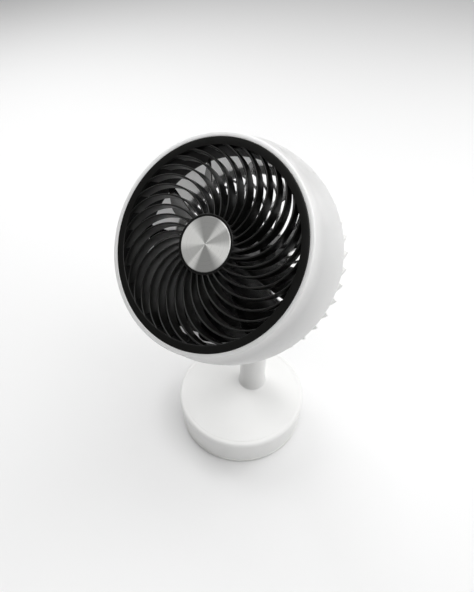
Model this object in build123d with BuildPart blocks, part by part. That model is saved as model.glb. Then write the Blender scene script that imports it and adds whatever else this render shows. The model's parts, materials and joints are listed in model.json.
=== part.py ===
from build123d import *
from math import acos, cos, pi, radians, sin, sqrt, tan
import os

# Desk fan: a weighted round base, a stalk that swings left and right, and a ball-shaped head
# that tilts on a hinge behind it. Millimetres, +Z up, origin at the centre of the foot pad's
# resting face. The fan blows towards -Y. In the head, "forward" is measured along the
# impeller's axis from the centre of the ball.

# ---------------------------------------------------------------- base
base_radius = 75.0
base_foot_radius = 72.7
base_height = 40.0
base_edge = 4.0
wall = 2.4
pad_height = 1.5
plate_height = 3.0
plate_top = pad_height + plate_height
top_line_radius = 69.0

base_screw_circle = 64.0
screw_shank = 1.4
screw_head = 2.8

# ---------------------------------------------------------------- swing drive
neck_foot_y = 22.3
spigot_radius = 12.0
spigot_bottom = 25.5
bushing_radius = 14.5
bushing_bottom = 34.0
running_gap = 0.05
gear_module = 1.0
gear_teeth = 48
pinion_teeth = 12
gear_low, gear_high = 28.6, 33.1
pressure_angle = radians(20)
tooth_backlash = 0.24
tooth_tip = 0.75
tooth_root = 1.15
pinion_y = neck_foot_y - gear_module * (gear_teeth + pinion_teeth) / 2
swing_motor_radius = 14.0
swing_motor_y = pinion_y - 8.0
swing_motor_low, swing_motor_high = 8.5, 27.3
swing_ear_reach = 17.5

# ---------------------------------------------------------------- neck
neck_radius = 15.25
neck_top_radius = 12.5
neck_low = base_height + 0.25
neck_high = 204.0
neck_lean = radians(2)
bend_low, bend_high = 85.0, 190.0

# ---------------------------------------------------------------- head
tilt_up = radians(43.9)
head_centre = Vector(0, -20.4, 281.1)
ball_radius = 99.2
front_plane = 41.8
housing_back = -42.7
guard_pole = -62.0
hinge_back = -88.0

grille_radius = 88.2
grille_opening = 81.5
grille_hub_radius = 25.1
badge_radius = 23.0
vane_count = 32
vane_depth = 11.0
vane_depth_at_hub = 15.0
vane_width = 1.7
rim_radius = 92.4

duct_wall = 1.8
duct_back = 4.7

rib_count = 40
rib_width = 2.2
rib_reach = 92.4
guard_hub_radius = 34.0
guard_hub_front, guard_hub_back = -58.0, -61.5
housing_screw_circle = 82.6

cover_radius = 33.0
cover_back = -72.0
knob_x, knob_up = -13.5, 21.5
button_x, button_up = 13.5, 21.5
knob_radius = 7.5
button_radius = 4.5

ear_inside, ear_outside = 8.5, 13.5
ear_radius = 12.0
knuckle_half = 7.2
knuckle_radius = 11.5
pin_radius = 3.0

# ---------------------------------------------------------------- motor and impeller
shaft_radius = 2.0
can_radius = 17.0
can_back, can_front = -55.5, -25.5
mount_radius = 23.5
impeller_hub_radius = 23.0
impeller_tip_radius = 79.5
cover_foot_radius, cover_shoulder_radius = 32.5, 29.5
cover_roof = -22.6
impeller_back, impeller_front = -16.0, 24.0
blade_count = 11
blade_twist = -21.0
blade_thickness = 2.2
first_blade = 12.0

# ---------------------------------------------------------------- frames of reference
forward = Vector(0, -cos(tilt_up), sin(tilt_up))
upward = Vector(0, sin(tilt_up), cos(tilt_up))
head_plane = Plane(origin=head_centre, x_dir=(1, 0, 0), z_dir=forward)
head_profile = Plane(origin=head_centre, x_dir=(1, 0, 0), z_dir=upward * -1)
head_side = Plane(origin=head_centre, x_dir=upward, z_dir=(1, 0, 0))
head_axis = Axis(head_centre, forward)
hinge = head_centre + forward * hinge_back
neck_axis = Axis((0, neck_foot_y, 0), (0, 0, 1))
neck_profile = Plane.XZ.offset(-neck_foot_y)
module_pitch = gear_module / 2


def save(piece, name):
    """Label a finished piece and write it as its own file."""
    piece.part.label = name
    export_step(piece.part, f"parts/{name}.step")


def ring_profile(inner, outer, low, high):
    """Rectangle of a turned ring, to be revolved in the sketch plane it is drawn on."""
    with Locations(((inner + outer) / 2, (low + high) / 2)):
        Rectangle(outer - inner, high - low)


def ball_width(radius, height):
    """Radius of a ball's slice at a height above its centre."""
    return sqrt(radius**2 - height**2)


def dome(radius):
    """Height of the rear guard's outside at a radius."""
    return guard_pole + dome_radius - ball_width(dome_radius, radius)


def polar(radius, degrees_round):
    """Point at a radius and an angle in the sketch plane."""
    return (radius * cos(radians(degrees_round)), radius * sin(radians(degrees_round)))


def swept_strips(start, middle, end, width, count):
    """Ring of equal strips, each of even width along an arc through three points."""
    with BuildSketch(Plane.XY, mode=Mode.PRIVATE) as strip:
        with BuildLine():
            ThreePointArc(start, middle, end)
        trace(line_width=width)
    return [Rotation(0, 0, turn * 360 / count) * strip.sketch for turn in range(count)]


def tooth(teeth, facing):
    """One stub involute tooth of a gear centred on the sketch plane, pointing at an angle."""
    pitch_radius = module_pitch * teeth
    base_circle = pitch_radius * cos(pressure_angle)
    half = pi / (2 * teeth) - tooth_backlash / (2 * pitch_radius)
    flank = []
    steps = 4
    for step in range(steps + 1):
        radius = pitch_radius - tooth_root + (tooth_root + tooth_tip) * step / steps
        roll = acos(min(1, base_circle / radius))
        spread = half + (tan(pressure_angle) - pressure_angle) - (tan(roll) - roll)
        flank.append((radius, spread))
    root = (flank[0][0] - 0.4, flank[0][1])
    one_side = [polar(r, facing - spread * 180 / pi) for r, spread in [root] + flank]
    other_side = [polar(r, facing + spread * 180 / pi) for r, spread in [root] + flank]
    with BuildSketch(Plane.XY, mode=Mode.PRIVATE) as outline:
        with BuildLine():
            Polyline(*one_side, *reversed(other_side), close=True)
        make_face()
    return outline.sketch


def neck_centre(height):
    """Front-to-back place of the neck's centre line, which leans and then steps back."""
    lean = tan(neck_lean) * (min(height, bend_high) - neck_low)
    step_back = hinge.Y - neck_foot_y - tan(neck_lean) * (bend_high - neck_low)
    part_way = min(1, max(0, (height - bend_low) / (bend_high - bend_low)))
    return neck_foot_y + lean + step_back * part_way**2 * (3 - 2 * part_way)


def neck_width(height):
    """Radius of the neck, even up to the bend and slimmer at the hinge."""
    part_way = min(1, max(0, (height - bend_low) / (bend_high - bend_low)))
    return neck_radius + (neck_top_radius - neck_radius) * part_way


def neck_core(inset, low, high):
    """Loft of the neck's round sections, inset from its outside."""
    sections = 7
    with BuildPart(mode=Mode.PRIVATE) as core:
        for section in range(sections):
            height = low + (high - low) * section / (sections - 1)
            with BuildSketch(Plane.XY.offset(height)):
                with Locations((0, neck_centre(height))):
                    Circle(neck_width(height) - inset)
        loft()
    return core.part


os.makedirs("parts", exist_ok=True)
base_screw_places = PolarLocations(base_screw_circle, 4, start_angle=45)
swing_ear_places = Locations((-swing_ear_reach, swing_motor_y), (swing_ear_reach, swing_motor_y))

# ================================================================ base
with BuildPart() as foot_pad:
    with BuildSketch():
        Circle(base_foot_radius - 4)
    extrude(amount=pad_height)
save(foot_pad, "foot_pad")

board_posts = [(x, y) for x in (-12, 12) for y in (46, 60)]
board_low, board_high = 12.0, 13.6
with BuildPart() as base_plate:
    with BuildSketch(Plane.XY.offset(pad_height)):
        Circle(base_foot_radius + 0.9)
    extrude(amount=plate_height)
    chamfer(base_plate.edges().group_by(Axis.Z)[0], 0.8)
    with BuildSketch(Plane.XY.offset(plate_top)):
        with Locations(*board_posts):
            Circle(2.5)
    extrude(amount=board_low - plate_top)
    with BuildSketch(Plane.XY.offset(plate_top)):
        with swing_ear_places:
            Circle(3.2)
    extrude(amount=swing_motor_high - 0.8 - plate_top)
    with BuildSketch(Plane.XY.offset(pad_height)):
        with base_screw_places:
            Circle(screw_shank)
    extrude(amount=plate_height, mode=Mode.SUBTRACT)
    with BuildSketch(Plane.XY.offset(pad_height)):
        with base_screw_places:
            Circle(screw_head)
    extrude(amount=1.6, mode=Mode.SUBTRACT)
    with BuildSketch(Plane.XY.offset(swing_motor_high - 0.8 - 8)):
        with swing_ear_places:
            Circle(1.2)
    extrude(amount=8, mode=Mode.SUBTRACT)
save(base_plate, "base_plate")

inlet_half_width, inlet_low, inlet_high = 4.5, board_high, board_high + 3.3
with BuildPart() as base_cover:
    with BuildSketch(Plane.XZ):
        with BuildLine():
            Line((0, base_height), (base_radius - base_edge, base_height))
            corner = JernArc((base_radius - base_edge, base_height), (1, 0), base_edge, -86)
            Line(corner @ 1, (base_foot_radius, plate_top))
            Line((base_foot_radius, plate_top), (base_foot_radius - wall, plate_top))
            Line((base_foot_radius - wall, plate_top), (base_radius - wall - 0.5, base_height - wall))
            Line((base_radius - wall - 0.5, base_height - wall), (0, base_height - wall))
            Line((0, base_height - wall), (0, base_height))
        make_face()
        with Locations((top_line_radius, base_height)):
            Rectangle(0.9, 0.6, mode=Mode.SUBTRACT)
    revolve(axis=Axis.Z)
    with BuildSketch(Plane.XY.offset(plate_top)):
        with base_screw_places:
            Circle(3.6)
    extrude(amount=base_height - wall - plate_top + 0.1)
    with BuildSketch(neck_profile):
        ring_profile(0, bushing_radius + 3, bushing_bottom, base_height - wall + 0.1)
    revolve(axis=neck_axis)
    with BuildSketch(neck_profile):
        ring_profile(0, bushing_radius, bushing_bottom - 1, base_height + 1)
    revolve(axis=neck_axis, mode=Mode.SUBTRACT)
    with BuildSketch(Plane.XY.offset(plate_top)):
        with base_screw_places:
            Circle(screw_shank)
    extrude(amount=10, mode=Mode.SUBTRACT)
    with BuildSketch(Plane.XZ.offset(-base_radius - 1)):
        with Locations((0, (inlet_low + inlet_high) / 2)):
            RectangleRounded(2 * inlet_half_width + 0.4, inlet_high - inlet_low + 0.4, 1.6)
    extrude(amount=10, mode=Mode.SUBTRACT)
save(base_cover, "base_cover")

with BuildPart() as ballast_weight:
    with BuildSketch(Plane.XY.offset(plate_top)):
        Circle(58)
        with Locations((0, 66)):
            Rectangle(120, 60, mode=Mode.SUBTRACT)
        with swing_ear_places:
            Circle(3.7, mode=Mode.SUBTRACT)
    extrude(amount=swing_motor_low - plate_top)
save(ballast_weight, "ballast_weight")

with BuildPart() as base_screws:
    with BuildSketch(Plane.XY.offset(pad_height + 0.1)):
        with base_screw_places:
            Circle(screw_head)
    extrude(amount=1.5)
    with BuildSketch(Plane.XY.offset(pad_height + 1.5)):
        with base_screw_places:
            Circle(screw_shank)
    extrude(amount=11)
save(base_screws, "base_screws")

with BuildPart() as swivel_bushing:
    with BuildSketch(neck_profile):
        ring_profile(spigot_radius + running_gap, bushing_radius, bushing_bottom, base_height + 0.15)
    revolve(axis=neck_axis)
save(swivel_bushing, "swivel_bushing")

with BuildPart() as swing_motor:
    with BuildSketch(Plane.XY.offset(swing_motor_low)):
        with Locations((0, swing_motor_y)):
            Circle(swing_motor_radius)
    extrude(amount=swing_motor_high - swing_motor_low)
    with BuildSketch(Plane.XY.offset(swing_motor_high - 0.8)):
        with Locations((0, swing_motor_y)):
            SlotCenterToCenter(2 * swing_ear_reach, 7)
    extrude(amount=0.8)
    with BuildSketch(Plane.XY.offset(swing_motor_high)):
        with Locations((0, pinion_y)):
            Circle(4.5)
    extrude(amount=0.7)
    with BuildSketch(Plane.XY.offset(swing_motor_high - 9)):
        with Locations((0, pinion_y)):
            Circle(2.4 + running_gap)
    extrude(amount=12, mode=Mode.SUBTRACT)
    with BuildSketch(Plane.XY.offset(swing_motor_high - 1)):
        with swing_ear_places:
            Circle(1.2)
    extrude(amount=2, mode=Mode.SUBTRACT)
save(swing_motor, "swing_motor")

with BuildPart() as swing_motor_screws:
    with BuildSketch(Plane.XY.offset(swing_motor_high)):
        with swing_ear_places:
            Circle(2.6)
    extrude(amount=1.6)
    with BuildSketch(Plane.XY.offset(swing_motor_high - 7)):
        with swing_ear_places:
            Circle(1.2)
    extrude(amount=7)
save(swing_motor_screws, "swing_motor_screws")

with BuildPart() as control_board:
    with BuildSketch(Plane.XY.offset(board_low)):
        with Locations((0, 54)):
            RectangleRounded(32, 24, 1)
    extrude(amount=board_high - board_low)
    with BuildSketch(Plane.XY.offset(board_high)):
        with Locations((-6, 53)):
            Rectangle(9, 7)
        with Locations((9, 56)):
            Circle(3.2)
        with Locations((8, 47.5)):
            Rectangle(10, 5)
    extrude(amount=4.5)
save(control_board, "control_board")

with BuildPart() as power_inlet:
    with BuildSketch(Plane.XZ.offset(-62)):
        with Locations((0, (inlet_low + inlet_high) / 2)):
            RectangleRounded(2 * inlet_half_width, inlet_high - inlet_low, 1.5)
    extrude(amount=-10.8)
    with BuildSketch(Plane.XZ.offset(-65)):
        with Locations((0, (inlet_low + inlet_high) / 2)):
            RectangleRounded(2 * inlet_half_width - 0.7, inlet_high - inlet_low - 0.7, 1.2)
            RectangleRounded(6.6, 0.8, 0.3, mode=Mode.SUBTRACT)
    extrude(amount=-8, mode=Mode.SUBTRACT)
save(power_inlet, "power_inlet")

# ================================================================ neck, its gear and the pinion
with BuildPart() as neck:
    add(neck_core(0, neck_low, neck_high))
    with BuildSketch(neck_profile):
        with BuildLine():
            foot_line = Line((spigot_radius, neck_low), (neck_radius + 2.6, neck_low))
            flare = RadiusArc(foot_line @ 1, (neck_radius, neck_low + 3.2), -3.4)
            Polyline(flare @ 1, (spigot_radius, neck_low + 3.2), foot_line @ 0)
        make_face()
        ring_profile(0, spigot_radius, spigot_bottom, neck_low)
    revolve(axis=neck_axis)
    with BuildSketch(Plane.YZ.offset(-knuckle_half)):
        with Locations((hinge.Y, hinge.Z)):
            Circle(knuckle_radius)
        with Locations((hinge.Y, (hinge.Z + neck_high) / 2 - 1)):
            Rectangle(2 * knuckle_radius - 1, hinge.Z - neck_high + 2)
    extrude(amount=2 * knuckle_half)
    with BuildSketch(Plane.YZ.offset(-knuckle_half)):
        with Locations((hinge.Y, hinge.Z)):
            Circle(pin_radius + running_gap)
    extrude(amount=2 * knuckle_half, mode=Mode.SUBTRACT)
    add(neck_core(3, neck_low + 4, neck_high - 8), mode=Mode.SUBTRACT)
    with BuildSketch(neck_profile):
        ring_profile(0, spigot_radius - 3, spigot_bottom, neck_low + 5)
    revolve(axis=neck_axis, mode=Mode.SUBTRACT)
save(neck, "neck")

tooth_step = 360 / gear_teeth
with BuildPart() as swivel_gear:
    with BuildSketch(Plane.XY.offset(gear_low).move(Location((0, neck_foot_y, 0)))):
        Circle(module_pitch * gear_teeth - tooth_root)
        for count in range(-9, 10):
            add(tooth(gear_teeth, -90 + tooth_step * count))
        Circle(spigot_radius, mode=Mode.SUBTRACT)
    extrude(amount=gear_high - gear_low)
save(swivel_gear, "swivel_gear")

with BuildPart() as swivel_retainer:
    with BuildSketch(Plane.XY.offset(gear_low - 2)):
        with Locations((0, neck_foot_y)):
            Circle(15)
            Circle(spigot_radius, mode=Mode.SUBTRACT)
        with Locations((0, neck_foot_y + 14)):
            Rectangle(8, 6, mode=Mode.SUBTRACT)
    extrude(amount=2)
save(swivel_retainer, "swivel_retainer")

with BuildPart() as drive_pinion:
    with BuildSketch(Plane.XY.offset(gear_low - 0.3).move(Location((0, pinion_y, 0)))):
        Circle(module_pitch * pinion_teeth - tooth_root)
        for count in range(pinion_teeth):
            add(tooth(pinion_teeth, 90 + (count + 0.5) * 360 / pinion_teeth))
    extrude(amount=gear_high - gear_low + 1)
    with BuildSketch(Plane.XY.offset(swing_motor_high - 8)):
        with Locations((0, pinion_y)):
            Circle(2.4)
    extrude(amount=gear_low - 0.3 - swing_motor_high + 8)
save(drive_pinion, "drive_pinion")

with BuildPart() as friction_washers:
    with BuildSketch(Plane.YZ.offset(knuckle_half)):
        with Locations((hinge.Y, hinge.Z)):
            Circle(10)
            Circle(pin_radius + 0.3, mode=Mode.SUBTRACT)
    extrude(amount=1)
    mirror(about=Plane.YZ)
save(friction_washers, "friction_washers")

# ================================================================ head casing
flange_front, flange_back = front_plane - 2.6, front_plane - 5.1
duct_outer = grille_opening - 0.1 + duct_wall
housing_screw_places = PolarLocations(housing_screw_circle, 4, start_angle=45 + 180 / rib_count)
crease = 29.0
with BuildPart() as front_housing:
    with BuildSketch(head_profile):
        with BuildLine():
            seat = (grille_radius + 0.2, front_plane)
            lip = (rim_radius, front_plane - 1.2)
            fold = (ball_width(ball_radius, crease), crease)
            edge_out = (ball_width(ball_radius, housing_back), housing_back)
            inside = ball_radius - wall
            edge_in = (ball_width(inside, housing_back), housing_back)
            under = (ball_width(inside, flange_back - 1), flange_back - 1)
            Line(seat, (rim_radius - 1.2, front_plane))
            RadiusArc((rim_radius - 1.2, front_plane), lip, -1.2)
            Line(lip, fold)
            ThreePointArc(fold, (ball_radius, 0), edge_out)
            Line(edge_out, edge_in)
            ThreePointArc(edge_in, (inside, 0), under)
            Polyline(under, (under[0] - 1, flange_back), (duct_outer, flange_back),
                     (duct_outer, flange_front), (grille_radius + 0.2, flange_front), seat)
        make_face()
    revolve(axis=head_axis)
    for web_reach, web_start in ((88.0, housing_back), (91.5, housing_back + 5.7)):
        with BuildSketch(head_plane.offset(web_start)):
            with housing_screw_places:
                Circle(3.4)
                with Locations(((web_reach - housing_screw_circle) / 2, 0)):
                    Rectangle(web_reach - housing_screw_circle, 2.4)
        extrude(amount=housing_back + 14 - web_start)
    with BuildSketch(head_plane.offset(housing_back)):
        with housing_screw_places:
            Circle(screw_shank)
    extrude(amount=9, mode=Mode.SUBTRACT)
save(front_housing, "front_housing")

vane_root = polar(grille_hub_radius - 1.5, -2.0)
vane_middle = polar(49.2, 15.0)
vane_tip = polar(grille_opening + 1.5, 51.5)
hub_bottom = front_plane - vane_depth_at_hub
vane_bottom = front_plane - vane_depth
with BuildPart() as front_grille:
    with BuildSketch(head_plane.offset(hub_bottom)):
        add(swept_strips(vane_root, vane_middle, vane_tip, vane_width, vane_count))
    extrude(amount=vane_depth_at_hub)
    with BuildSketch(head_profile):
        with BuildLine():
            Polyline((0, hub_bottom - 1), (grille_radius, hub_bottom - 1), (grille_radius, vane_bottom),
                     (grille_opening, vane_bottom), (grille_hub_radius, hub_bottom), (0, hub_bottom),
                     close=True)
        make_face()
    revolve(axis=head_axis, mode=Mode.SUBTRACT)
    with BuildSketch(head_profile):
        ring_profile(grille_opening - 0.3, grille_radius, vane_bottom, flange_front)
    revolve(axis=head_axis, mode=Mode.SUBTRACT)
    with BuildSketch(head_profile):
        ring_profile(grille_opening, grille_radius, flange_front, front_plane)
        ring_profile(grille_hub_radius - 2.2, grille_hub_radius, hub_bottom, front_plane)
        ring_profile(0, grille_hub_radius - 2, front_plane - 3.6, front_plane - 1.4)
    revolve(axis=head_axis)
    with BuildSketch(head_profile):
        ring_profile(0, badge_radius, front_plane - 1.4, front_plane + 1)
    revolve(axis=head_axis, mode=Mode.SUBTRACT)
save(front_grille, "front_grille")

with BuildPart() as grille_badge:
    with BuildSketch(head_profile):
        ring_profile(0, badge_radius, front_plane - 1.4, front_plane + 0.2)
    revolve(axis=head_axis)
save(grille_badge, "grille_badge")

with BuildPart() as air_duct:
    with BuildSketch(head_profile):
        ring_profile(duct_outer - duct_wall, duct_outer, duct_back, flange_front)
    revolve(axis=head_axis)
save(air_duct, "air_duct")

guard_front = housing_back - 0.2
rib_end = housing_back - 3.0
dome_radius = (rib_reach**2 + (rib_end - guard_pole) ** 2) / (2 * (rib_end - guard_pole))
rib_root = polar(guard_hub_radius - 2, 0)
rib_middle = polar(64.0, 13.0)
rib_tip = polar(rib_reach + 2, 38.0)
with BuildPart() as rear_guard:
    with BuildSketch(head_plane.offset(guard_pole - 1)):
        add(swept_strips(rib_root, rib_middle, rib_tip, rib_width, rib_count))
    extrude(amount=housing_back - guard_pole + 1)
    with BuildSketch(head_profile):
        with BuildLine():
            inner_start = (guard_hub_radius - 3, dome(guard_hub_radius - 3))
            inner_end = (inner_start[0], inner_start[1] + 5)
            ThreePointArc(inner_start, (64, dome(64)), (rib_reach, rib_end))
            Polyline((rib_reach, rib_end), (rib_reach, guard_front), (80, guard_front))
            ThreePointArc((80, guard_front), (60, dome(60) + 6), inner_end)
            Line(inner_end, inner_start)
        make_face()
    revolve(axis=head_axis, mode=Mode.INTERSECT)
    with BuildSketch(head_profile):
        ring_profile(79.6, ball_width(ball_radius, housing_back) - 0.2, guard_front - 3, guard_front)
        ring_profile(14, guard_hub_radius, guard_hub_back, guard_hub_front)
    revolve(axis=head_axis)
    with BuildSketch(head_profile):
        ring_profile(14, cover_foot_radius + 0.1, guard_hub_front, guard_hub_front + 8)
    revolve(axis=head_axis, mode=Mode.SUBTRACT)
    with BuildSketch(head_plane.offset(guard_front - 3)):
        with housing_screw_places:
            Circle(screw_shank)
    extrude(amount=3, mode=Mode.SUBTRACT)
    with BuildSketch(head_plane.offset(guard_front - 3)):
        with housing_screw_places:
            Circle(screw_head + 0.4)
    extrude(amount=-12, mode=Mode.SUBTRACT)
    with BuildSketch(head_plane.offset(guard_hub_back)):
        with PolarLocations(20.8, 3, start_angle=90):
            Circle(1.2)
        with PolarLocations(28.5, 3, start_angle=30):
            Circle(1.2)
    extrude(amount=4, mode=Mode.SUBTRACT)
save(rear_guard, "rear_guard")

with BuildPart() as housing_screws:
    with BuildSketch(head_plane.offset(housing_back - 3.2)):
        with housing_screw_places:
            Circle(screw_head)
    extrude(amount=-1.6)
    with BuildSketch(head_plane.offset(housing_back - 3.2)):
        with housing_screw_places:
            Circle(screw_shank)
    extrude(amount=11)
save(housing_screws, "housing_screws")

control_places = Locations((knob_x, knob_up), (button_x, button_up))
with BuildPart() as rear_cover:
    with BuildSketch(head_profile):
        ring_profile(0, cover_radius, cover_back, guard_hub_back)
    revolve(axis=head_axis)
    fillet(rear_cover.edges().sort_by(head_axis)[0], 3)
    with BuildSketch(head_profile):
        ring_profile(0, cover_radius - 2.2, cover_back + 2.2, guard_hub_back)
    revolve(axis=head_axis, mode=Mode.SUBTRACT)
    with BuildSketch(head_plane.offset(cover_back + 2)):
        with PolarLocations(28.5, 3, start_angle=30):
            Circle(2.8)
    extrude(amount=guard_hub_back - cover_back - 2)
    with BuildSketch(head_side.offset(ear_inside)):
        with Locations((0, hinge_back)):
            Circle(ear_radius)
        with Locations((0, (hinge_back + cover_back + 1) / 2)):
            Rectangle(2 * ear_radius, cover_back + 1 - hinge_back)
    extrude(amount=ear_outside - ear_inside)
    mirror(about=Plane.YZ)
    with BuildSketch(head_side.offset(-ear_outside)):
        with Locations((0, hinge_back)):
            Circle(pin_radius)
    extrude(amount=2 * ear_outside, mode=Mode.SUBTRACT)
    for start in (-ear_outside, ear_outside - 2.6):
        with BuildSketch(head_side.offset(start)):
            with Locations((0, hinge_back)):
                Circle(5.2)
        extrude(amount=2.6, mode=Mode.SUBTRACT)
    with BuildSketch(head_plane.offset(cover_back - 1)):
        with Locations((knob_x, knob_up)):
            Circle(3.1)
        with Locations((button_x, button_up)):
            Circle(button_radius + 0.3)
    extrude(amount=4, mode=Mode.SUBTRACT)
    with BuildSketch(head_plane.offset(cover_back + 2)):
        with PolarLocations(28.5, 3, start_angle=30):
            Circle(1.2)
    extrude(amount=9, mode=Mode.SUBTRACT)
save(rear_cover, "rear_cover")

with BuildPart() as cover_screws:
    with BuildSketch(head_plane.offset(guard_hub_front)):
        with PolarLocations(28.5, 3, start_angle=30):
            Circle(2.4)
    extrude(amount=1.6)
    with BuildSketch(head_plane.offset(guard_hub_front)):
        with PolarLocations(28.5, 3, start_angle=30):
            Circle(1.2)
    extrude(amount=-10)
save(cover_screws, "cover_screws")

# ================================================================ tilt hinge
with BuildPart() as tilt_pin:
    with BuildSketch(head_side.offset(-ear_outside + 0.1)):
        with Locations((0, hinge_back)):
            RegularPolygon(5, 6)
    extrude(amount=2.5)
    with BuildSketch(head_side.offset(-ear_outside + 2.5)):
        with Locations((0, hinge_back)):
            Circle(pin_radius)
    extrude(amount=2 * ear_outside - 3)
save(tilt_pin, "tilt_pin")

with BuildPart() as tilt_nut:
    with BuildSketch(head_side.offset(ear_outside - 2.6)):
        with Locations((0, hinge_back)):
            RegularPolygon(5, 6)
            Circle(pin_radius, mode=Mode.SUBTRACT)
    extrude(amount=2.4)
save(tilt_nut, "tilt_nut")

with BuildPart() as tilt_caps:
    with BuildSketch(head_side.offset(ear_outside)):
        with Locations((0, hinge_back)):
            Circle(7)
    extrude(amount=1.4)
    fillet(tilt_caps.edges().group_by(Axis.X)[-1], 0.7)
    mirror(about=Plane.YZ)
save(tilt_caps, "tilt_caps")

# ================================================================ switch, knob and button
with BuildPart() as speed_switch:
    with BuildSketch(head_plane.offset(cover_back + 2.2)):
        with Locations((knob_x + 0.5, knob_up - 2)):
            Rectangle(10, 9)
    extrude(amount=6)
    with BuildSketch(head_plane.offset(cover_back + 2.2)):
        with Locations((knob_x, knob_up)):
            Circle(1.5 + running_gap)
    extrude(amount=5, mode=Mode.SUBTRACT)
save(speed_switch, "speed_switch")

with BuildPart() as speed_knob:
    with BuildSketch(head_plane.offset(cover_back - 0.4)):
        with Locations((knob_x, knob_up)):
            Circle(knob_radius)
    extrude(amount=-8, taper=3)
    fillet(speed_knob.edges().sort_by(head_axis)[0], 1)
    with BuildSketch(head_plane.offset(cover_back - 9)):
        with Locations((knob_x, knob_up + 4.6)):
            Rectangle(1, 3)
    extrude(amount=1.2, mode=Mode.SUBTRACT)
    with BuildSketch(head_plane.offset(cover_back - 0.4)):
        with Locations((knob_x, knob_up)):
            Circle(1.5)
    extrude(amount=7)
save(speed_knob, "speed_knob")

button_travel = 2.0
with BuildPart() as swing_switch:
    with BuildSketch(head_plane.offset(guard_hub_back)):
        with Locations((button_x, button_up - 1)):
            Rectangle(7, 7)
    extrude(amount=-3.5)
save(swing_switch, "swing_switch")

with BuildPart() as swing_button:
    with BuildSketch(head_plane.offset(cover_back - 2.6)):
        with Locations((button_x, button_up)):
            Circle(button_radius)
    extrude(amount=4.8)
    fillet(swing_button.edges().sort_by(head_axis)[0], 0.8)
save(swing_button, "swing_button")

# ================================================================ motor
with BuildPart() as motor_mount:
    with BuildSketch(head_profile):
        ring_profile(8, mount_radius, guard_hub_front, can_back)
        ring_profile(can_radius, can_radius + 1.4, can_back, can_back + 6)
    revolve(axis=head_axis)
    with BuildSketch(head_plane.offset(guard_hub_front)):
        with PolarLocations(20.8, 3, start_angle=90):
            Circle(1.2)
        with Locations((0, -12)):
            Circle(2)
    extrude(amount=3, mode=Mode.SUBTRACT)
save(motor_mount, "motor_mount")

with BuildPart() as motor_screws:
    with BuildSketch(head_plane.offset(can_back)):
        with PolarLocations(20.8, 3, start_angle=90):
            Circle(2.1)
    extrude(amount=1.4)
    with BuildSketch(head_plane.offset(can_back)):
        with PolarLocations(20.8, 3, start_angle=90):
            Circle(1.2)
    extrude(amount=-6)
save(motor_screws, "motor_screws")

bearing_radius = 6.5
with BuildPart() as motor_can:
    with BuildSketch(head_profile):
        ring_profile(can_radius - 1.2, can_radius, can_back, can_front)
        ring_profile(bearing_radius, can_radius - 1, can_back, can_back + 1.6)
        ring_profile(bearing_radius, can_radius - 1, can_front - 1.6, can_front)
        ring_profile(bearing_radius, bearing_radius + 1.2, can_back, can_back + 4)
        ring_profile(bearing_radius, bearing_radius + 1.2, can_front - 4, can_front)
    revolve(axis=head_axis)
save(motor_can, "motor_can")

for name, low in (("rear_bearing", can_back), ("front_bearing", can_front - 4)):
    with BuildPart() as bearing:
        with BuildSketch(head_profile):
            ring_profile(shaft_radius + running_gap, bearing_radius, low, low + 4)
        revolve(axis=head_axis)
    save(bearing, name)

with BuildPart() as motor_stator:
    with BuildSketch(head_profile):
        ring_profile(13, can_radius - 1.2, can_back + 8, can_front - 8)
    revolve(axis=head_axis)
    with BuildSketch(head_plane.offset(can_back + 6)):
        with PolarLocations(15, 6):
            Rectangle(5, 1.2)
    extrude(amount=20, mode=Mode.SUBTRACT)
save(motor_stator, "motor_stator")

with BuildPart() as motor_lead:
    with BuildLine(Plane(origin=head_centre, x_dir=upward * -1, z_dir=(-1, 0, 0))) as lead_path:
        FilletPolyline((12, can_back - 1.6), (12, can_back - 9.6), (-2, can_back - 11.6), radius=4)
    with BuildSketch(Plane(lead_path.line @ 0, z_dir=lead_path.line % 0)):
        Circle(1)
    sweep()
save(motor_lead, "motor_lead")

with BuildPart() as motor_shaft:
    with BuildSketch(head_profile):
        ring_profile(0, shaft_radius, can_back - 1, impeller_front + 2.8)
    revolve(axis=head_axis)
save(motor_shaft, "motor_shaft")

with BuildPart() as motor_rotor:
    with BuildSketch(head_profile):
        ring_profile(shaft_radius, 12, can_back + 9, can_front - 9)
    revolve(axis=head_axis)
save(motor_rotor, "motor_rotor")

with BuildPart() as motor_cover:
    cover_wall = 1.4
    with BuildSketch(head_profile):
        with BuildLine():
            Polyline((cover_foot_radius, guard_hub_front), (cover_shoulder_radius, -36), (25, -25.5),
                     (22, cover_roof - 1), (8, cover_roof), (8, cover_roof - cover_wall - 0.2),
                     (21.5, cover_roof - 2.6), (23.8, -26.4), (cover_shoulder_radius - cover_wall, -36.3),
                     (cover_foot_radius - cover_wall, guard_hub_front), close=True)
        make_face()
        ring_profile(can_radius, can_radius + cover_wall, -33, cover_roof - 1.8)
    revolve(axis=head_axis)
save(motor_cover, "motor_cover")

# ================================================================ impeller
blade_length = impeller_tip_radius - impeller_hub_radius + 1
with BuildSketch(head_plane.offset(impeller_back)) as blade_slice:
    with Locations((impeller_tip_radius - blade_length / 2, 0)):
        Rectangle(blade_length, blade_thickness)
blade = Solid.extrude_linear_with_rotation(
    blade_slice.sketch.faces()[0],
    center=head_centre + forward * impeller_back,
    normal=forward * (impeller_front - impeller_back),
    angle=blade_twist,
)
with BuildPart() as impeller:
    with BuildSketch(head_profile):
        ring_profile(impeller_hub_radius - 2, impeller_hub_radius, impeller_back, impeller_front)
        ring_profile(shaft_radius, impeller_hub_radius - 1, impeller_front - 2, impeller_front)
        ring_profile(shaft_radius, 6, impeller_back - 4, impeller_front)
    revolve(axis=head_axis)
    for count in range(blade_count):
        add(blade.rotate(head_axis, first_blade + count * 360 / blade_count))
save(impeller, "impeller")

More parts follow.
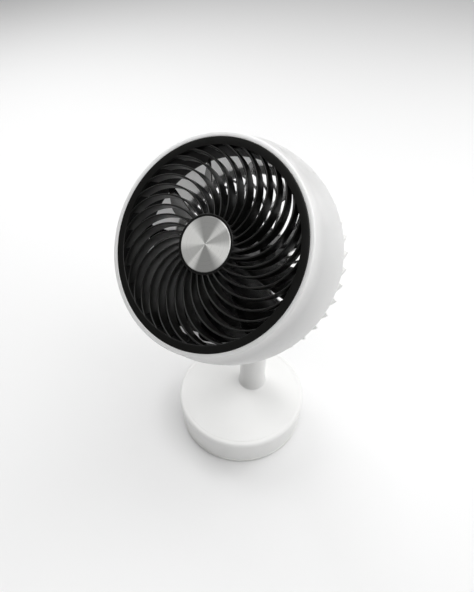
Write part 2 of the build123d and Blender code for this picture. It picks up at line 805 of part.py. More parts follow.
with BuildPart() as blade_nut:
    with BuildSketch(head_plane.offset(impeller_front)):
        RegularPolygon(5.5, 6)
        Circle(shaft_radius, mode=Mode.SUBTRACT)
    extrude(amount=2.6)
save(blade_nut, "blade_nut")
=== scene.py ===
import json
from math import asin, atan2, cos, hypot, pi, radians, sin, sqrt, tan

import bpy
from mathutils import Matrix, Vector


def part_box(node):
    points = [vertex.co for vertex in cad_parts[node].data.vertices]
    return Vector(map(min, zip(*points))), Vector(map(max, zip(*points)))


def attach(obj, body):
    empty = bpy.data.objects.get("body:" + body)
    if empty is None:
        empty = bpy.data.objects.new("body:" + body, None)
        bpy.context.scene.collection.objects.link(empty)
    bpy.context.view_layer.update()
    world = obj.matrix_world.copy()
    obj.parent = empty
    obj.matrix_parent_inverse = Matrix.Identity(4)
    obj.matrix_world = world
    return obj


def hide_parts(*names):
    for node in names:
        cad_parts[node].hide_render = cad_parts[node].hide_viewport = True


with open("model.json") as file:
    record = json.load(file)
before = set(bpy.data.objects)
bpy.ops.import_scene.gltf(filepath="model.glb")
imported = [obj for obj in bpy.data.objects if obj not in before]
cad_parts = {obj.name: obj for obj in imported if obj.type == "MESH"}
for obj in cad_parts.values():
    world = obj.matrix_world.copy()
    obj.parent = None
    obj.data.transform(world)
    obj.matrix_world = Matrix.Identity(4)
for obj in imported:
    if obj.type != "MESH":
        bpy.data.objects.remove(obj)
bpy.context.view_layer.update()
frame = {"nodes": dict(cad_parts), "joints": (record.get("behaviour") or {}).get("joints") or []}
MM = 0.001

# ---------------------------------------------------------------- places read from the frame
joints = {joint["name"]: joint for joint in frame["joints"]}
forward = Vector(joints["impeller_spin"]["axis"]).normalized()
head_centre = Vector(joints["impeller_spin"]["pos_m"])
sideways = Vector((1, 0, 0))
upward = forward.cross(sideways)
head = Matrix.Translation(head_centre) @ Matrix((sideways, upward, forward)).transposed().to_4x4()
into_head = head.inverted()
hinge = Vector(joints["tilt"]["pos_m"])
swing_foot = Vector(joints["swing"]["pos_m"])
world = Matrix.Identity(4)


def corners(node):
    """Lowest and highest corner of a CAD node in the head's own axes."""
    points = [into_head @ vertex.co for vertex in frame["nodes"][node].data.vertices]
    return [Vector([pick(point[axis] for point in points) for axis in range(3)]) for pick in (min, max)]


def radius_of(node):
    """Outer radius of a CAD node that is round about the head's axis."""
    return corners(node)[1].x


# ---------------------------------------------------------------- mesh helpers
near_axis = 0.01 * MM  # a turned profile that closes over the axis stops this short of it


def new_piece(name, vertices, faces, place, body, sharp=35):
    """Mesh from vertices in the place's own axes, smooth except at folds, riding on a body."""
    mesh = bpy.data.meshes.new(name)
    mesh.from_pydata([place @ Vector(vertex) for vertex in vertices], [], faces)
    mesh.validate()
    mesh.update()
    mesh.polygons.foreach_set("use_smooth", [True] * len(mesh.polygons))
    mesh.set_sharp_from_angle(angle=radians(sharp))
    piece = bpy.data.objects.new(name, mesh)
    bpy.context.scene.collection.objects.link(piece)
    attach(piece, body)
    return piece


def arc(centre, radius, start, end, steps=8):
    """Points of an arc in a profile, from one angle to another in degrees."""
    return [
        (centre[0] + radius * cos(radians(start + (end - start) * step / steps)),
         centre[1] + radius * sin(radians(start + (end - start) * step / steps)))
        for step in range(steps + 1)
    ]


def lathe(profile, segments=192):
    """Vertices and faces of a closed profile of (radius, height) points turned about the axis."""
    vertices = [
        (radius * cos(2 * pi * turn / segments), radius * sin(2 * pi * turn / segments), height)
        for turn in range(segments) for radius, height in profile
    ]
    count = len(profile)
    faces = [
        (turn * count + point, (turn + 1) % segments * count + point,
         (turn + 1) % segments * count + (point + 1) % count, turn * count + (point + 1) % count)
        for turn in range(segments) for point in range(count)
    ]
    return vertices, faces


def merged(*parts):
    """One list of vertices and faces from several."""
    vertices, faces = [], []
    for more_vertices, more_faces in parts:
        start = len(vertices)
        vertices += more_vertices
        faces += [tuple(start + index for index in face) for face in more_faces]
    return vertices, faces


def rounded_section(width, low, high, rounding, steps=4):
    """Closed (across, height) section of a strip on edge, with both edges rounded."""
    half = width / 2
    rounding = min(rounding, half * 0.999)
    corner_centres = (
        ((half - rounding, low + rounding), -90), ((half - rounding, high - rounding), 0),
        ((-half + rounding, high - rounding), 90), ((-half + rounding, low + rounding), 180),
    )
    return [
        point for centre, start in corner_centres
        for point in arc(centre, rounding, start, start + 90, steps)
    ]


def arc_through(first, middle, last, steps):
    """Points, and their sideways directions, along the arc through three flat points."""
    (ax, ay), (bx, by), (cx, cy) = first, middle, last
    divisor = 2 * (ax * (by - cy) + bx * (cy - ay) + cx * (ay - by))
    a_square, b_square, c_square = ax * ax + ay * ay, bx * bx + by * by, cx * cx + cy * cy
    centre = Vector(((a_square * (by - cy) + b_square * (cy - ay) + c_square * (ay - by)) / divisor,
                     (a_square * (cx - bx) + b_square * (ax - cx) + c_square * (bx - ax)) / divisor))
    spokes = [Vector(point) - centre for point in (first, middle, last)]
    turn = spokes[0].angle_signed(spokes[2])
    points = []
    for step in range(steps + 1):
        spoke = spokes[0].copy()
        spoke.rotate(Matrix.Rotation(-turn * step / steps, 2))
        points.append((centre + spoke, spoke.normalized()))
    return points


def swept(stations):
    """Vertices and faces of a closed tube through stations, each a ring of points, with its ends closed."""
    count = len(stations[0])
    vertices = [point for station in stations for point in station]
    faces = [
        (row * count + point, row * count + (point + 1) % count,
         (row + 1) * count + (point + 1) % count, (row + 1) * count + point)
        for row in range(len(stations) - 1) for point in range(count)
    ]
    last = (len(stations) - 1) * count
    faces.append(tuple(reversed(range(count))))
    faces.append(tuple(range(last, last + count)))
    return vertices, faces


def turned(part, angle):
    """A part turned about the axis."""
    vertices, faces = part
    cosine, sine = cos(angle), sin(angle)
    return [(x * cosine - y * sine, x * sine + y * cosine, z) for x, y, z in vertices], faces


def copies_round(part, count):
    """A part repeated evenly about the axis."""
    return [turned(part, 2 * pi * place / count) for place in range(count)]


def polar(radius, degrees_round):
    """Flat point at a radius and an angle."""
    return (radius * cos(radians(degrees_round)), radius * sin(radians(degrees_round)))


def circle_width(radius, height):
    """Half the width of a circle at a height above its centre."""
    return sqrt(radius * radius - height * height)


# ---------------------------------------------------------------- materials
def new_material(name, colour, roughness, metallic=0.0, coat=0.0, anisotropy=0.0):
    """Principled material; returns it with its nodes, links and shader for the detail that follows."""
    material = bpy.data.materials.new(name)
    material.use_nodes = True
    nodes, links = material.node_tree.nodes, material.node_tree.links
    shader = nodes["Principled BSDF"]
    shader.inputs["Base Color"].default_value = (*colour, 1)
    shader.inputs["Roughness"].default_value = roughness
    shader.inputs["Metallic"].default_value = metallic
    shader.inputs["Coat Weight"].default_value = coat
    shader.inputs["Coat Roughness"].default_value = 0.12
    shader.inputs["Anisotropic"].default_value = anisotropy
    return material, nodes, links, shader


def noise(nodes, links, scale, detail=3, stretch=None):
    """Noise over the object's own coordinates, in metres."""
    place = nodes.new("ShaderNodeTexCoord")
    texture = nodes.new("ShaderNodeTexNoise")
    texture.inputs["Scale"].default_value = scale
    texture.inputs["Detail"].default_value = detail
    source = place.outputs["Object"]
    if stretch:
        mapping = nodes.new("ShaderNodeMapping")
        mapping.inputs["Scale"].default_value = stretch
        links.new(source, mapping.inputs["Vector"])
        source = mapping.outputs["Vector"]
    links.new(source, texture.inputs["Vector"])
    return texture.outputs["Fac"]


def ranged(nodes, links, source, low, high, start=0.3, end=0.7):
    """Noise from 0 to 1 mapped to a range of values."""
    spread = nodes.new("ShaderNodeMapRange")
    spread.inputs["From Min"].default_value = start
    spread.inputs["From Max"].default_value = end
    spread.inputs["To Min"].default_value = low
    spread.inputs["To Max"].default_value = high
    links.new(source, spread.inputs["Value"])
    return spread.outputs["Result"]


def mixed_colour(nodes, links, shader, source, first, second):
    """Base colour that varies between two tones."""
    mix = nodes.new("ShaderNodeMix")
    mix.data_type = "RGBA"
    mix.inputs["A"].default_value = (*first, 1)
    mix.inputs["B"].default_value = (*second, 1)
    links.new(source, mix.inputs["Factor"])
    links.new(mix.outputs["Result"], shader.inputs["Base Color"])


def bumped(nodes, links, shader, source, strength, depth):
    """Surface relief from a texture; depth in metres."""
    bump = nodes.new("ShaderNodeBump")
    bump.inputs["Strength"].default_value = strength
    bump.inputs["Distance"].default_value = depth
    links.new(source, bump.inputs["Height"])
    links.new(bump.outputs["Normal"], shader.inputs["Normal"])


def moulded_plastic(name, colour, roughness, coat=0.0, grain=2600, tone=0.02, specular=0.5):
    """Injection-moulded plastic: fine spark-eroded grain, slight unevenness in tone and gloss."""
    relief = 0.04 * MM
    material, nodes, links, shader = new_material(name, colour, roughness, coat=coat)
    shader.inputs["Specular IOR Level"].default_value = specular
    cloud = noise(nodes, links, 22, 2)
    darker = tuple(max(0, channel - tone) for channel in colour)
    mixed_colour(nodes, links, shader, ranged(nodes, links, cloud, 0, 1), colour, darker)
    grains = noise(nodes, links, grain, 2)
    links.new(ranged(nodes, links, noise(nodes, links, 60, 4), roughness - 0.04, roughness + 0.05),
              shader.inputs["Roughness"])
    bumped(nodes, links, shader, grains, 0.35, relief)
    return material


def spun_metal_painted_reflection():
    """Disc turned on a lathe: fine ring grooves, and painted reflection: light and dark wedges painted into
    the base colour, one tone for each angle, where the spun metal's highlights fall.
    """
    material, nodes, links, shader = new_material("spun_aluminium_painted_reflection", (0.80, 0.80, 0.78), 0.32,
                                                  metallic=0.35, anisotropy=0.6)
    place = nodes.new("ShaderNodeTexCoord")
    split = nodes.new("ShaderNodeSeparateXYZ")
    links.new(place.outputs["Object"], split.inputs["Vector"])
    angle = nodes.new("ShaderNodeMath")
    angle.operation = "ARCTAN2"
    links.new(split.outputs["Y"], angle.inputs[0])
    links.new(split.outputs["X"], angle.inputs[1])
    turn = nodes.new("ShaderNodeMapRange")
    turn.inputs["From Min"].default_value = -pi
    turn.inputs["From Max"].default_value = pi
    links.new(angle.outputs["Value"], turn.inputs["Value"])
    painted_reflection_ramp = nodes.new("ShaderNodeValToRGB")
    # Painted reflection: a tone for each angle round the badge, light where highlights fall and dark between
    # them.
    painted_reflection_at_degrees = (
        (-180, 0.95), (-160, 0.95), (-140, 0.62), (-112, 0.60), (-104, 0.92), (-94, 0.80), (-84, 0.36),
        (-40, 0.34), (-26, 0.60), (-12, 0.95), (14, 0.98), (34, 0.55), (52, 0.52), (62, 0.88), (74, 0.80),
        (86, 0.42), (128, 0.38), (144, 0.60), (160, 0.95), (180, 0.95),
    )
    stops = painted_reflection_ramp.color_ramp.elements
    while len(stops) < len(painted_reflection_at_degrees):
        stops.new(0.5)
    for stop, (degrees_round, tone) in zip(stops, painted_reflection_at_degrees):
        stop.position = (degrees_round + 180) / 360
        stop.color = (tone, tone, tone * 0.975, 1)
    links.new(turn.outputs["Result"], painted_reflection_ramp.inputs["Fac"])
    # The painted reflection goes into the base colour.
    links.new(painted_reflection_ramp.outputs["Color"], shader.inputs["Base Color"])
    flat = nodes.new("ShaderNodeCombineXYZ")
    links.new(split.outputs["X"], flat.inputs["X"])
    links.new(split.outputs["Y"], flat.inputs["Y"])
    length = nodes.new("ShaderNodeVectorMath")
    length.operation = "LENGTH"
    links.new(flat.outputs["Vector"], length.inputs[0])
    grooves = nodes.new("ShaderNodeTexNoise")
    grooves.noise_dimensions = "1D"
    grooves.inputs["Scale"].default_value = 5200
    grooves.inputs["Detail"].default_value = 3
    links.new(length.outputs["Value"], grooves.inputs["W"])
    tangent = nodes.new("ShaderNodeTangent")
    tangent.direction_type = "RADIAL"
    tangent.axis = "Z"
    links.new(tangent.outputs["Tangent"], shader.inputs["Tangent"])
    links.new(ranged(nodes, links, grooves.outputs["Fac"], 0.27, 0.37), shader.inputs["Roughness"])
    bumped(nodes, links, shader, grooves.outputs["Fac"], 0.2, 0.02 * MM)
    return material


def plated_metal(name, colour, roughness, scale=900):
    """Plain metal with fine scratches and slight staining."""
    material, nodes, links, shader = new_material(name, colour, roughness, metallic=1.0)
    scratches = noise(nodes, links, scale, 4, (1, 1, 0.08))
    stains = noise(nodes, links, 140, 4)
    darker = tuple(channel * 0.82 for channel in colour)
    mixed_colour(nodes, links, shader, ranged(nodes, links, stains, 0, 1), colour, darker)
    links.new(ranged(nodes, links, scratches, roughness - 0.08, roughness + 0.12), shader.inputs["Roughness"])
    bumped(nodes, links, shader, scratches, 0.2, 0.02 * MM)
    return material


def rubber():
    """Matt anti-slip rubber with a pebbled face."""
    material, nodes, links, shader = new_material("foot_rubber", (0.035, 0.035, 0.035), 0.82)
    pebbles = nodes.new("ShaderNodeTexVoronoi")
    pebbles.inputs["Scale"].default_value = 900
    place = nodes.new("ShaderNodeTexCoord")
    links.new(place.outputs["Object"], pebbles.inputs["Vector"])
    bumped(nodes, links, shader, pebbles.outputs["Distance"], 0.5, 0.1 * MM)
    mixed_colour(nodes, links, shader, noise(nodes, links, 80), (0.03, 0.03, 0.03), (0.05, 0.05, 0.048))
    return material


white = moulded_plastic("white_plastic", (0.90, 0.90, 0.89), 0.36, coat=0.12)
shell_white = moulded_plastic("thin_white_plastic", (0.90, 0.90, 0.89), 0.36, coat=0.12)
shell_shader = shell_white.node_tree.nodes["Principled BSDF"]
shell_shader.inputs["Subsurface Weight"].default_value = 0.7
shell_shader.inputs["Subsurface Radius"].default_value = (1, 1, 1)
shell_shader.inputs["Subsurface Scale"].default_value = 0.018
lip_white = moulded_plastic("lip_plastic", (0.84, 0.84, 0.82), 0.42)
black = moulded_plastic("black_grille_plastic", (0.005, 0.005, 0.0045), 0.34, tone=0.001, specular=0.36)
blade_black = moulded_plastic("black_blade_plastic", (0.010, 0.0095, 0.009), 0.22, tone=0.002, grain=900)
grey = moulded_plastic("grey_control_plastic", (0.20, 0.21, 0.22), 0.45)
liner_black = moulded_plastic("black_liner_plastic", (0.006, 0.006, 0.006), 0.62, tone=0.002, specular=0.2)
aluminium = spun_metal_painted_reflection()
steel = plated_metal("zinc_plated_steel", (0.62, 0.62, 0.60), 0.36)
motor_metal = plated_metal("motor_can_steel", (0.70, 0.70, 0.69), 0.30)
bronze = plated_metal("sintered_bronze", (0.60, 0.42, 0.22), 0.45, 2200)
iron = plated_metal("ballast_iron", (0.22, 0.22, 0.23), 0.6, 300)
bearing_white = moulded_plastic("acetal", (0.86, 0.86, 0.80), 0.40)
board = moulded_plastic("circuit_board", (0.02, 0.16, 0.07), 0.35, coat=0.4, tone=0.015)
dark = moulded_plastic("switch_plastic", (0.03, 0.03, 0.03), 0.5)
foot = rubber()

node_materials = {
    "foot_pad": foot, "ballast_weight": iron, "swivel_bushing": bearing_white,
    "swivel_gear": bearing_white, "drive_pinion": bearing_white, "friction_washers": bearing_white,
    "swing_motor": motor_metal, "power_inlet": motor_metal, "motor_mount": motor_metal,
    "motor_can": motor_metal, "motor_shaft": motor_metal, "motor_rotor": motor_metal,
    "motor_stator": bronze, "front_bearing": bronze, "rear_bearing": bronze,
    "control_board": board, "speed_switch": dark, "swing_switch": dark, "motor_lead": dark,
    "swivel_retainer": steel, "base_screws": steel, "swing_motor_screws": steel,
    "motor_cover": black, "motor_screws": steel, "housing_screws": steel, "cover_screws": steel,
    "tilt_pin": steel, "tilt_nut": steel, "blade_nut": steel,
    "tilt_caps": white, "base_cover": white, "base_plate": lip_white, "neck": white,
    "front_housing": white, "rear_guard": white, "rear_cover": white,
    "front_grille": black, "air_duct": liner_black, "grille_badge": aluminium,
    "impeller": blade_black, "speed_knob": grey, "swing_button": grey,
}
for node, material in node_materials.items():
    mesh = frame["nodes"][node].data
    mesh.materials.clear()
    mesh.materials.append(material)
    mesh.polygons.foreach_set("use_smooth", [True] * len(mesh.polygons))
    mesh.set_sharp_from_angle(angle=radians(28))


def dress(piece, material, *stands_for):
    """Give a new piece its material and hide the CAD nodes that it stands for."""
    piece.data.materials.append(material)
    if stands_for:
        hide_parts(*stands_for)
    return piece


# ---------------------------------------------------------------- camera, light and floor
camera_azimuth, camera_elevation = radians(37.58), radians(46.54)
camera_data = bpy.data.cameras.new("camera")
camera_data.lens = 32.84
camera_data.sensor_width = 36
camera = bpy.data.objects.new("camera", camera_data)
camera.location = (0.2214, -0.2960, 0.5971)
look_back = Vector((sin(camera_azimuth) * cos(camera_elevation),
                    -cos(camera_azimuth) * cos(camera_elevation), sin(camera_elevation)))
camera.rotation_mode = "QUATERNION"
camera.rotation_quaternion = (-look_back).to_track_quat("-Z", "Y")
camera_data.clip_start = 0.01
bpy.context.scene.collection.objects.link(camera)
bpy.context.scene.camera = camera


def area_light(name, place, aim, size, power):
    """White square soft box that points at a place."""
    data = bpy.data.lights.new(name, "AREA")
    data.size = size
    data.energy = power
    light = bpy.data.objects.new(name, data)
    light.location = place
    light.rotation_mode = "QUATERNION"
    light.rotation_quaternion = (Vector(aim) - Vector(place)).to_track_quat("-Z", "Y")
    bpy.context.scene.collection.objects.link(light)


area_light("overhead", place=(0.4, 0.25, 1.8), aim=(0, 0, 0), size=2.3, power=45)
area_light("fill", place=(-1.1, 0.3, 1.0), aim=(0, 0, 0.25), size=0.9, power=7.5)
area_light("side", place=(1.5, 0.4, 0.8), aim=(0, 0, 0.2), size=0.7, power=2)
area_light("behind", place=(0.5, 1.3, 0.5), aim=head_centre, size=0.6, power=1.5)
surround = bpy.data.worlds.new("surround")
surround.use_nodes = True
surround.node_tree.nodes["Background"].inputs["Color"].default_value = (1, 1, 1, 1)
surround.node_tree.nodes["Background"].inputs["Strength"].default_value = 0.1
bpy.context.scene.world = surround
bpy.context.scene.view_settings.view_transform = "Standard"

floor_mesh = bpy.data.meshes.new("floor")
reach = 3.0
floor_mesh.from_pydata([(-reach, -reach, 0), (reach, -reach, 0), (reach, reach, 0), (-reach, reach, 0)],
                       [], [(0, 1, 2, 3)])
floor = bpy.data.objects.new("floor", floor_mesh)
floor_mesh.materials.append(new_material("pale_floor", (0.84, 0.84, 0.84), 0.9)[0])
bpy.context.scene.collection.objects.link(floor)

# ---------------------------------------------------------------- head casing
grille_high = corners("front_grille")[1]
grille_radius = grille_high.x
front = grille_high.z
housing_low, housing_high = corners("front_housing")
ball_radius = housing_high.x
housing_back = housing_low.z
duct_low, duct_high = corners("air_duct")
duct_radius = duct_high.x
flange_front = duct_high.z
wall = 2.4 * MM
rim_width = 4.2 * MM
rim_radius = grille_radius + rim_width
clearance = 0.15 * MM
crease = 29 * MM
flange_back = flange_front - 2.5 * MM


def ball_arc(radius, low, high, steps):
    """Points of the ball's outline between two heights."""
    return arc((0, 0), radius, asin(low / radius) * 180 / pi, asin(high / radius) * 180 / pi, steps)


def build_housing():
    """Ball-shaped casing: rolled rim round the grille, faint crease, open back with a turned edge."""
    inner = ball_radius - wall
    seat = grille_radius + clearance
    seat_edge = 0.4 * MM
    rolled = 1.3 * MM
    edge = 0.7 * MM
    fold_radius = circle_width(ball_radius, crease)
    rim_foot = front - rolled - 0.1 * MM
    rim_steps = 6
    lip = [(seat, flange_front), (seat, front - seat_edge), (seat + seat_edge, front)]
    lip += arc((rim_radius - rolled, front - rolled), rolled, 90, 4, 8)
    lip += [(rim_radius + (fold_radius - rim_radius) * step / rim_steps,
             rim_foot + (crease - rim_foot) * step / rim_steps) for step in range(1, rim_steps)]
    outside = list(reversed(ball_arc(ball_radius, housing_back + edge, crease, 40)))
    turned_edge = [(outside[-1][0] - 0.5 * edge, housing_back + 0.2 * edge),
                   (outside[-1][0] - 1.2 * edge, housing_back)]
    inside = ball_arc(inner, housing_back, flange_back - 2 * MM, 30)
    shelf = [(duct_radius + 1 * MM, flange_back), (duct_radius + clearance, flange_back + 0.5 * MM),
             (duct_radius + clearance, flange_front)]
    profile = lip + outside + turned_edge + inside + shelf
    vertices, faces = lathe(profile, 256)
    dress(new_piece("housing_shell", vertices, faces, head, "head", 28),
          shell_white, "front_housing")


vane_count = 32
vane_depth = 11 * MM
vane_depth_at_hub = 15 * MM
vane_width = 1.5 * MM
hub_radius = 25.1 * MM
opening = 81.5 * MM
badge_radius = radius_of("grille_badge")


def build_grille():
    """Flat outer ring, swept vanes on edge and the hub cup that carries the badge."""
    ring_back = flange_front
    edge = 0.5 * MM
    ring = [(opening, ring_back), (grille_radius, ring_back)]
    ring += arc((grille_radius - edge, front - edge), edge, 0, 90, 4)
    ring += arc((opening + edge, front - edge), edge, 90, 180, 4)
    hub_back = front - vane_depth_at_hub
    hub_wall = 2.2 * MM
    hub_inside = hub_radius - hub_wall
    badge_seat = front - 1.4 * MM
    hub = [(hub_inside, hub_back), (hub_radius, hub_back)]
    hub += arc((hub_radius - edge, front - edge), edge, 0, 90, 4)
    hub += [(badge_radius + clearance, front), (badge_radius + clearance, badge_seat),
            (near_axis, badge_seat), (near_axis, badge_seat - hub_wall), (hub_inside, badge_seat - hub_wall)]
    inner_end = polar(hub_radius - 1.2 * MM, -2)
    half_way = polar(49.2 * MM, 15)
    outer_end = polar(opening + 1.5 * MM, 51.5)
    line = arc_through(inner_end, half_way, outer_end, 36)
    stations = []
    for point, across in line:
        part_way = (point.length - hub_radius) / (opening - hub_radius)
        depth = vane_depth_at_hub + (vane_depth - vane_depth_at_hub) * min(1, max(0, part_way))
        section = rounded_section(vane_width, front - depth, front - 0.15 * MM, 0.7 * MM)
        over_duct = point.length > duct_radius - 2.2 * MM
        lowest = flange_front + 0.1 * MM if over_duct else 0
        stations.append([(point.x + across.x * side, point.y + across.y * side, max(height, lowest))
                         for side, height in section])
    vertices, faces = merged(lathe(ring, 256), lathe(hub, 128), *copies_round(swept(stations), vane_count))
    dress(new_piece("grille", vertices, faces, head, "head", 40), black, "front_grille")


def build_badge():
    """Slightly domed spun disc with a bevelled rim; its own Z axis is the head's."""
    top = front + 0.15 * MM
    underside = front - 1.35 * MM
    bevel = 0.6 * MM
    doming = 0.1 * MM
    profile = [(near_axis, underside), (badge_radius, underside),
               (badge_radius, top - bevel), (badge_radius - bevel, top - doming)]
    steps = 14
    profile += [((badge_radius - bevel) * (1 - step / steps) + near_axis, top - doming * (1 - step / steps))
                for step in range(1, steps + 1)]
    vertices, faces = lathe(profile, 192)
    badge = new_piece("badge", vertices, faces, world, "head", 30)
    badge.matrix_world = head
    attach(badge, "head")
    dress(badge, aluminium, "grille_badge")


def build_duct():
    """Thin black liner behind the grille, flared a little at its back edge."""
    inner = duct_radius - 1.8 * MM
    back = duct_low.z
    profile = [(duct_radius, flange_front), (inner, flange_front), (inner, back + 6 * MM)]
    flare_at_height = ((0.1 * MM, 4 * MM), (0.5 * MM, 2 * MM), (1.0 * MM, 0.6 * MM))
    profile += [(inner + flare, back + height) for flare, height in flare_at_height]
    profile += [(duct_radius - 0.4 * MM, back), (duct_radius, back + 0.4 * MM)]
    vertices, faces = lathe(profile, 256)
    dress(new_piece("duct", vertices, faces, head, "head", 30), liner_black, "air_duct")


# ---------------------------------------------------------------- impeller
impeller_low = corners("impeller")[0]
impeller_hub = 23 * MM
tip_radius = 79.5 * MM
blade_back, blade_front = -16 * MM, 24 * MM
blade_count = 11
blade_twist = radians(-21)
first_blade = radians(12)


def build_impeller():
    """Thin blades that wind round a cup as they rise, each rounded at the tip, on a keyed boss."""
    across, along = 18, 16
    rounding = 7 * MM
    root = impeller_hub - 1 * MM

    def blade_point(outward, rise, side):
        """Place on one face of a blade, from root to tip and from back to front edge."""
        radius = root + (tip_radius - root) * outward
        low, high = blade_back, blade_front
        past = min(rounding, max(0, radius - (tip_radius - rounding)))
        trim = rounding - circle_width(rounding, past)
        height = low + trim + (high - low - 2 * trim) * rise
        angle = first_blade + blade_twist * (height - low) / (high - low)
        half = (1.1 - 0.25 * outward) * MM * (0.35 + 0.65 * min(1, 5 * sqrt(max(0, rise * (1 - rise)))))
        angle += side * half / radius
        return (radius * cos(angle), radius * sin(angle), height)

    stations = []
    for row in range(across + 1):
        outward = sin(pi / 2 * row / across)
        one_side = [blade_point(outward, step / along, 1) for step in range(along + 1)]
        other_side = [blade_point(outward, step / along, -1) for step in range(along, -1, -1)]
        stations.append(one_side + other_side)
    top = blade_front
    bore = 2.05 * MM
    cup_inside = impeller_hub - 2 * MM
    shoulder = 3 * MM
    boss_radius = 6 * MM
    boss_top = top - 1 * MM
    cup = [(cup_inside, blade_back), (impeller_hub, blade_back), (impeller_hub, top - shoulder)]
    cup += arc((impeller_hub - shoulder, top - shoulder), shoulder, 10, 90, 6)
    cup += [(bore, top), (bore, top - 2 * MM), (cup_inside, top - 3.4 * MM)]
    boss = [(bore, impeller_low.z), (boss_radius, impeller_low.z), (boss_radius, boss_top), (bore, boss_top)]
    vertices, faces = merged(lathe(cup, 96), lathe(boss, 48), *copies_round(swept(stations), blade_count))
    dress(new_piece("impeller_blades", vertices, faces, head, "rotor", 40),
          blade_black, "impeller")


# ---------------------------------------------------------------- rear guard
rib_count = 40
rib_width = 2.2 * MM
rib_depth = 5.5 * MM
guard_hub = 34 * MM
guard_front = housing_back - 0.2 * MM
guard_pole = -62 * MM
rib_reach = 92.4 * MM
rib_end = housing_back - 3.0 * MM
dome_radius = (rib_reach**2 + (rib_end - guard_pole) ** 2) / (2 * (rib_end - guard_pole))


def dome(radius):
    """Height of the guard's outside at a radius."""
    return guard_pole + dome_radius - circle_width(dome_radius, radius)


def build_guard():
    """Swept ribs whose hooked feet stand proud of the casing's back edge, on a ring and a hub plate."""
    taper_start, taper = 78 * MM, 0.1
    foot_start, foot_length, foot_spread = 85 * MM, 6 * MM, 2.4 * MM
    inner_end = polar(guard_hub - 2 * MM, 0)
    half_way = polar(64 * MM, 13)
    outer_end = polar(rib_reach - 0.3 * MM, 37)
    line = arc_through(inner_end, half_way, outer_end, 30)
    stations = []
    for point, across in line:
        radius = point.length
        outside = dome(radius)
        inside = min(guard_front, outside + rib_depth - taper * max(0, radius - taper_start))
        flare = min(1, max(0, (radius - foot_start) / foot_length))
        width = rib_width + foot_spread * flare**2
        section = rounded_section(width, outside, inside, 0.8 * MM, 3)
        stations.append([(point.x + across.x * side, point.y + across.y * side, height)
                         for side, height in section])
    edge = 0.6 * MM
    ring_in, ring_out = 80 * MM, circle_width(ball_radius, housing_back) - 0.2 * MM
    ring_back = guard_front - 3 * MM
    ring = [(ring_in, guard_front), (ring_in, ring_back + edge), (ring_in + edge, ring_back),
            (ring_out - edge, ring_back), (ring_out, ring_back + edge), (ring_out, guard_front)]
    plate_hole = 14 * MM
    plate_back, plate_front, plate_edge = -61.5 * MM, -58 * MM, 0.5 * MM
    plate = [(plate_hole, plate_back), (guard_hub, plate_back), (guard_hub, plate_front - plate_edge),
             (guard_hub - plate_edge, plate_front), (plate_hole, plate_front)]
    vertices, faces = merged(lathe(ring, 256), lathe(plate, 128), *copies_round(swept(stations), rib_count))
    dress(new_piece("guard_cage", vertices, faces, head, "head", 40), white, "rear_guard")


# ---------------------------------------------------------------- neck
spigot_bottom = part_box("neck")[0].z
spigot_radius = 12 * MM
neck_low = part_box("base_cover")[1].z + 0.25 * MM
neck_high = 204 * MM
neck_radius, neck_top_radius = 15.25 * MM, 12.5 * MM
swell, swell_height = 1.6 * MM, 9 * MM
neck_lean = radians(2)
bend_low, bend_high = 85 * MM, 190 * MM
knuckle_half, knuckle_radius = 7.2 * MM, 11.5 * MM


def along_bend(height):
    """How far a height is through the neck's bend, from 0 to 1."""
    return min(1, max(0, (height - bend_low) / (bend_high - bend_low)))


def neck_centre(height):
    """Front-to-back place of the neck's centre line, which leans and then steps back."""
    lean = tan(neck_lean) * (min(height, bend_high) - neck_low)
    step_back = hinge.y - swing_foot.y - tan(neck_lean) * (bend_high - neck_low)
    part_way = along_bend(height)
    return swing_foot.y + lean + step_back * part_way**2 * (3 - 2 * part_way)


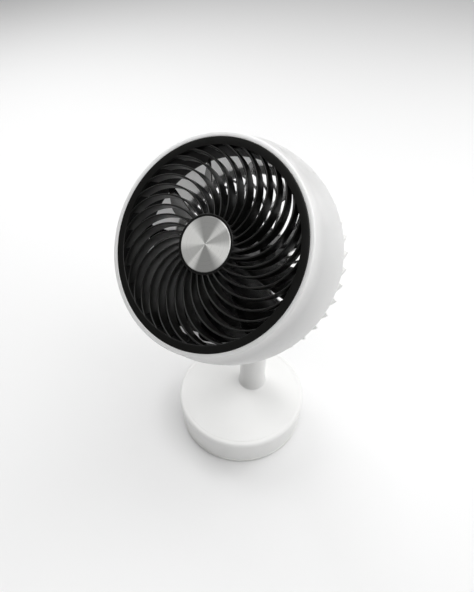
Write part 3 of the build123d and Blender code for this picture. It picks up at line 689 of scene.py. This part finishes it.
def build_neck():
    """Round neck that swells softly at its foot, bends back and ends in a bored knuckle."""
    segments = 96

    def level(height, radius, centre):
        """Ring of points round the neck at a height."""
        angles = [2 * pi * turn / segments for turn in range(segments)]
        return [(radius * cos(angle), centre + radius * sin(angle), height) for angle in angles]

    edge = 0.5 * MM
    foot = swing_foot.y
    stations = [level(spigot_bottom, spigot_radius - edge, foot),
                level(spigot_bottom + edge, spigot_radius, foot),
                level(neck_low, spigot_radius, foot), level(neck_low, neck_radius + swell, foot)]
    swell_steps, rise_steps = 8, 60
    for step in range(1, swell_steps + 1):
        height = neck_low + swell_height * step / swell_steps
        radius = neck_radius + swell * (1 - step / swell_steps) ** 2.5
        stations.append(level(height, radius, neck_centre(height)))
    rounding = 3 * MM
    swell_top = neck_low + swell_height
    for step in range(1, rise_steps + 1):
        height = swell_top + (neck_high - rounding - swell_top) * step / rise_steps
        radius = neck_radius + (neck_top_radius - neck_radius) * along_bend(height)
        stations.append(level(height, radius, neck_centre(height)))
    for across, up in arc((neck_top_radius - rounding, neck_high - rounding), rounding, 8, 86, 8):
        stations.append(level(up, across, neck_centre(up)))
    bore = 3.05 * MM
    knuckle_edge = 1 * MM
    edge_centre = knuckle_radius - knuckle_edge
    ring = [(bore, -knuckle_half), (edge_centre, -knuckle_half)]
    ring += arc((edge_centre, knuckle_edge - knuckle_half), knuckle_edge, -80, 0, 5)
    ring += arc((edge_centre, knuckle_half - knuckle_edge), knuckle_edge, 0, 90, 5)
    ring += [(bore, knuckle_half)]
    barrel, barrel_faces = lathe(ring, segments)
    barrel = [(z, hinge.y + x, hinge.z + y) for x, y, z in barrel]
    half = knuckle_radius - 0.5 * MM
    web_section = rounded_section(2 * knuckle_half, -half, half, 1.5 * MM)
    web = swept([[(x, y + hinge.y, height) for x, y in web_section]
                 for height in (neck_high - 6 * MM, hinge.z - bore - 1 * MM)])
    vertices, faces = merged(swept(stations), (barrel, barrel_faces), web)
    dress(new_piece("neck_tube", vertices, faces, world, "stalk", 30), white, "neck")


# ---------------------------------------------------------------- controls on the rear cover
cover_low_face = -72 * MM


def build_knob():
    """Fluted knob with a raised pointer across its face, on its stem."""
    stem_radius = 1.5 * MM
    flute_count, flute_depth = 24, 0.4 * MM
    low, high = corners("speed_knob")
    centre_x, centre_y = (low.x + high.x) / 2, (low.y + high.y) / 2
    radius = high.x - centre_x
    face = low.z
    seat = cover_low_face - 0.4 * MM
    profile = [(near_axis, face), (radius - 1.7 * MM, face), (radius - 0.9 * MM, face + 0.25 * MM),
               (radius - 0.45 * MM, face + 1 * MM), (radius, seat - 0.3 * MM), (radius - 0.3 * MM, seat),
               (stem_radius, seat), (stem_radius, high.z), (near_axis, high.z)]
    vertices, faces = lathe(profile, 144)
    fluted = []
    for x, y, z in vertices:
        out = hypot(x, y)
        if out > radius - 1 * MM:
            pinch = 1 - flute_depth * (0.5 + 0.5 * cos(flute_count * atan2(y, x))) / out
            x, y = x * pinch, y * pinch
        fluted.append((x + centre_x, y + centre_y, z))
    pointer = swept([[(centre_x + across, centre_y + along, face - 0.5 * MM + up)
                      for across, up in rounded_section(1.3 * MM, 0, 1 * MM, 0.3 * MM, 3)]
                     for along in (1 * MM, radius - 1.4 * MM)])
    vertices, faces = merged((fluted, faces), pointer)
    dress(new_piece("knob", vertices, faces, head, "knob", 32), grey, "speed_knob")


build_housing()
build_grille()
build_badge()
build_duct()
build_impeller()
build_guard()
build_neck()
build_knob()
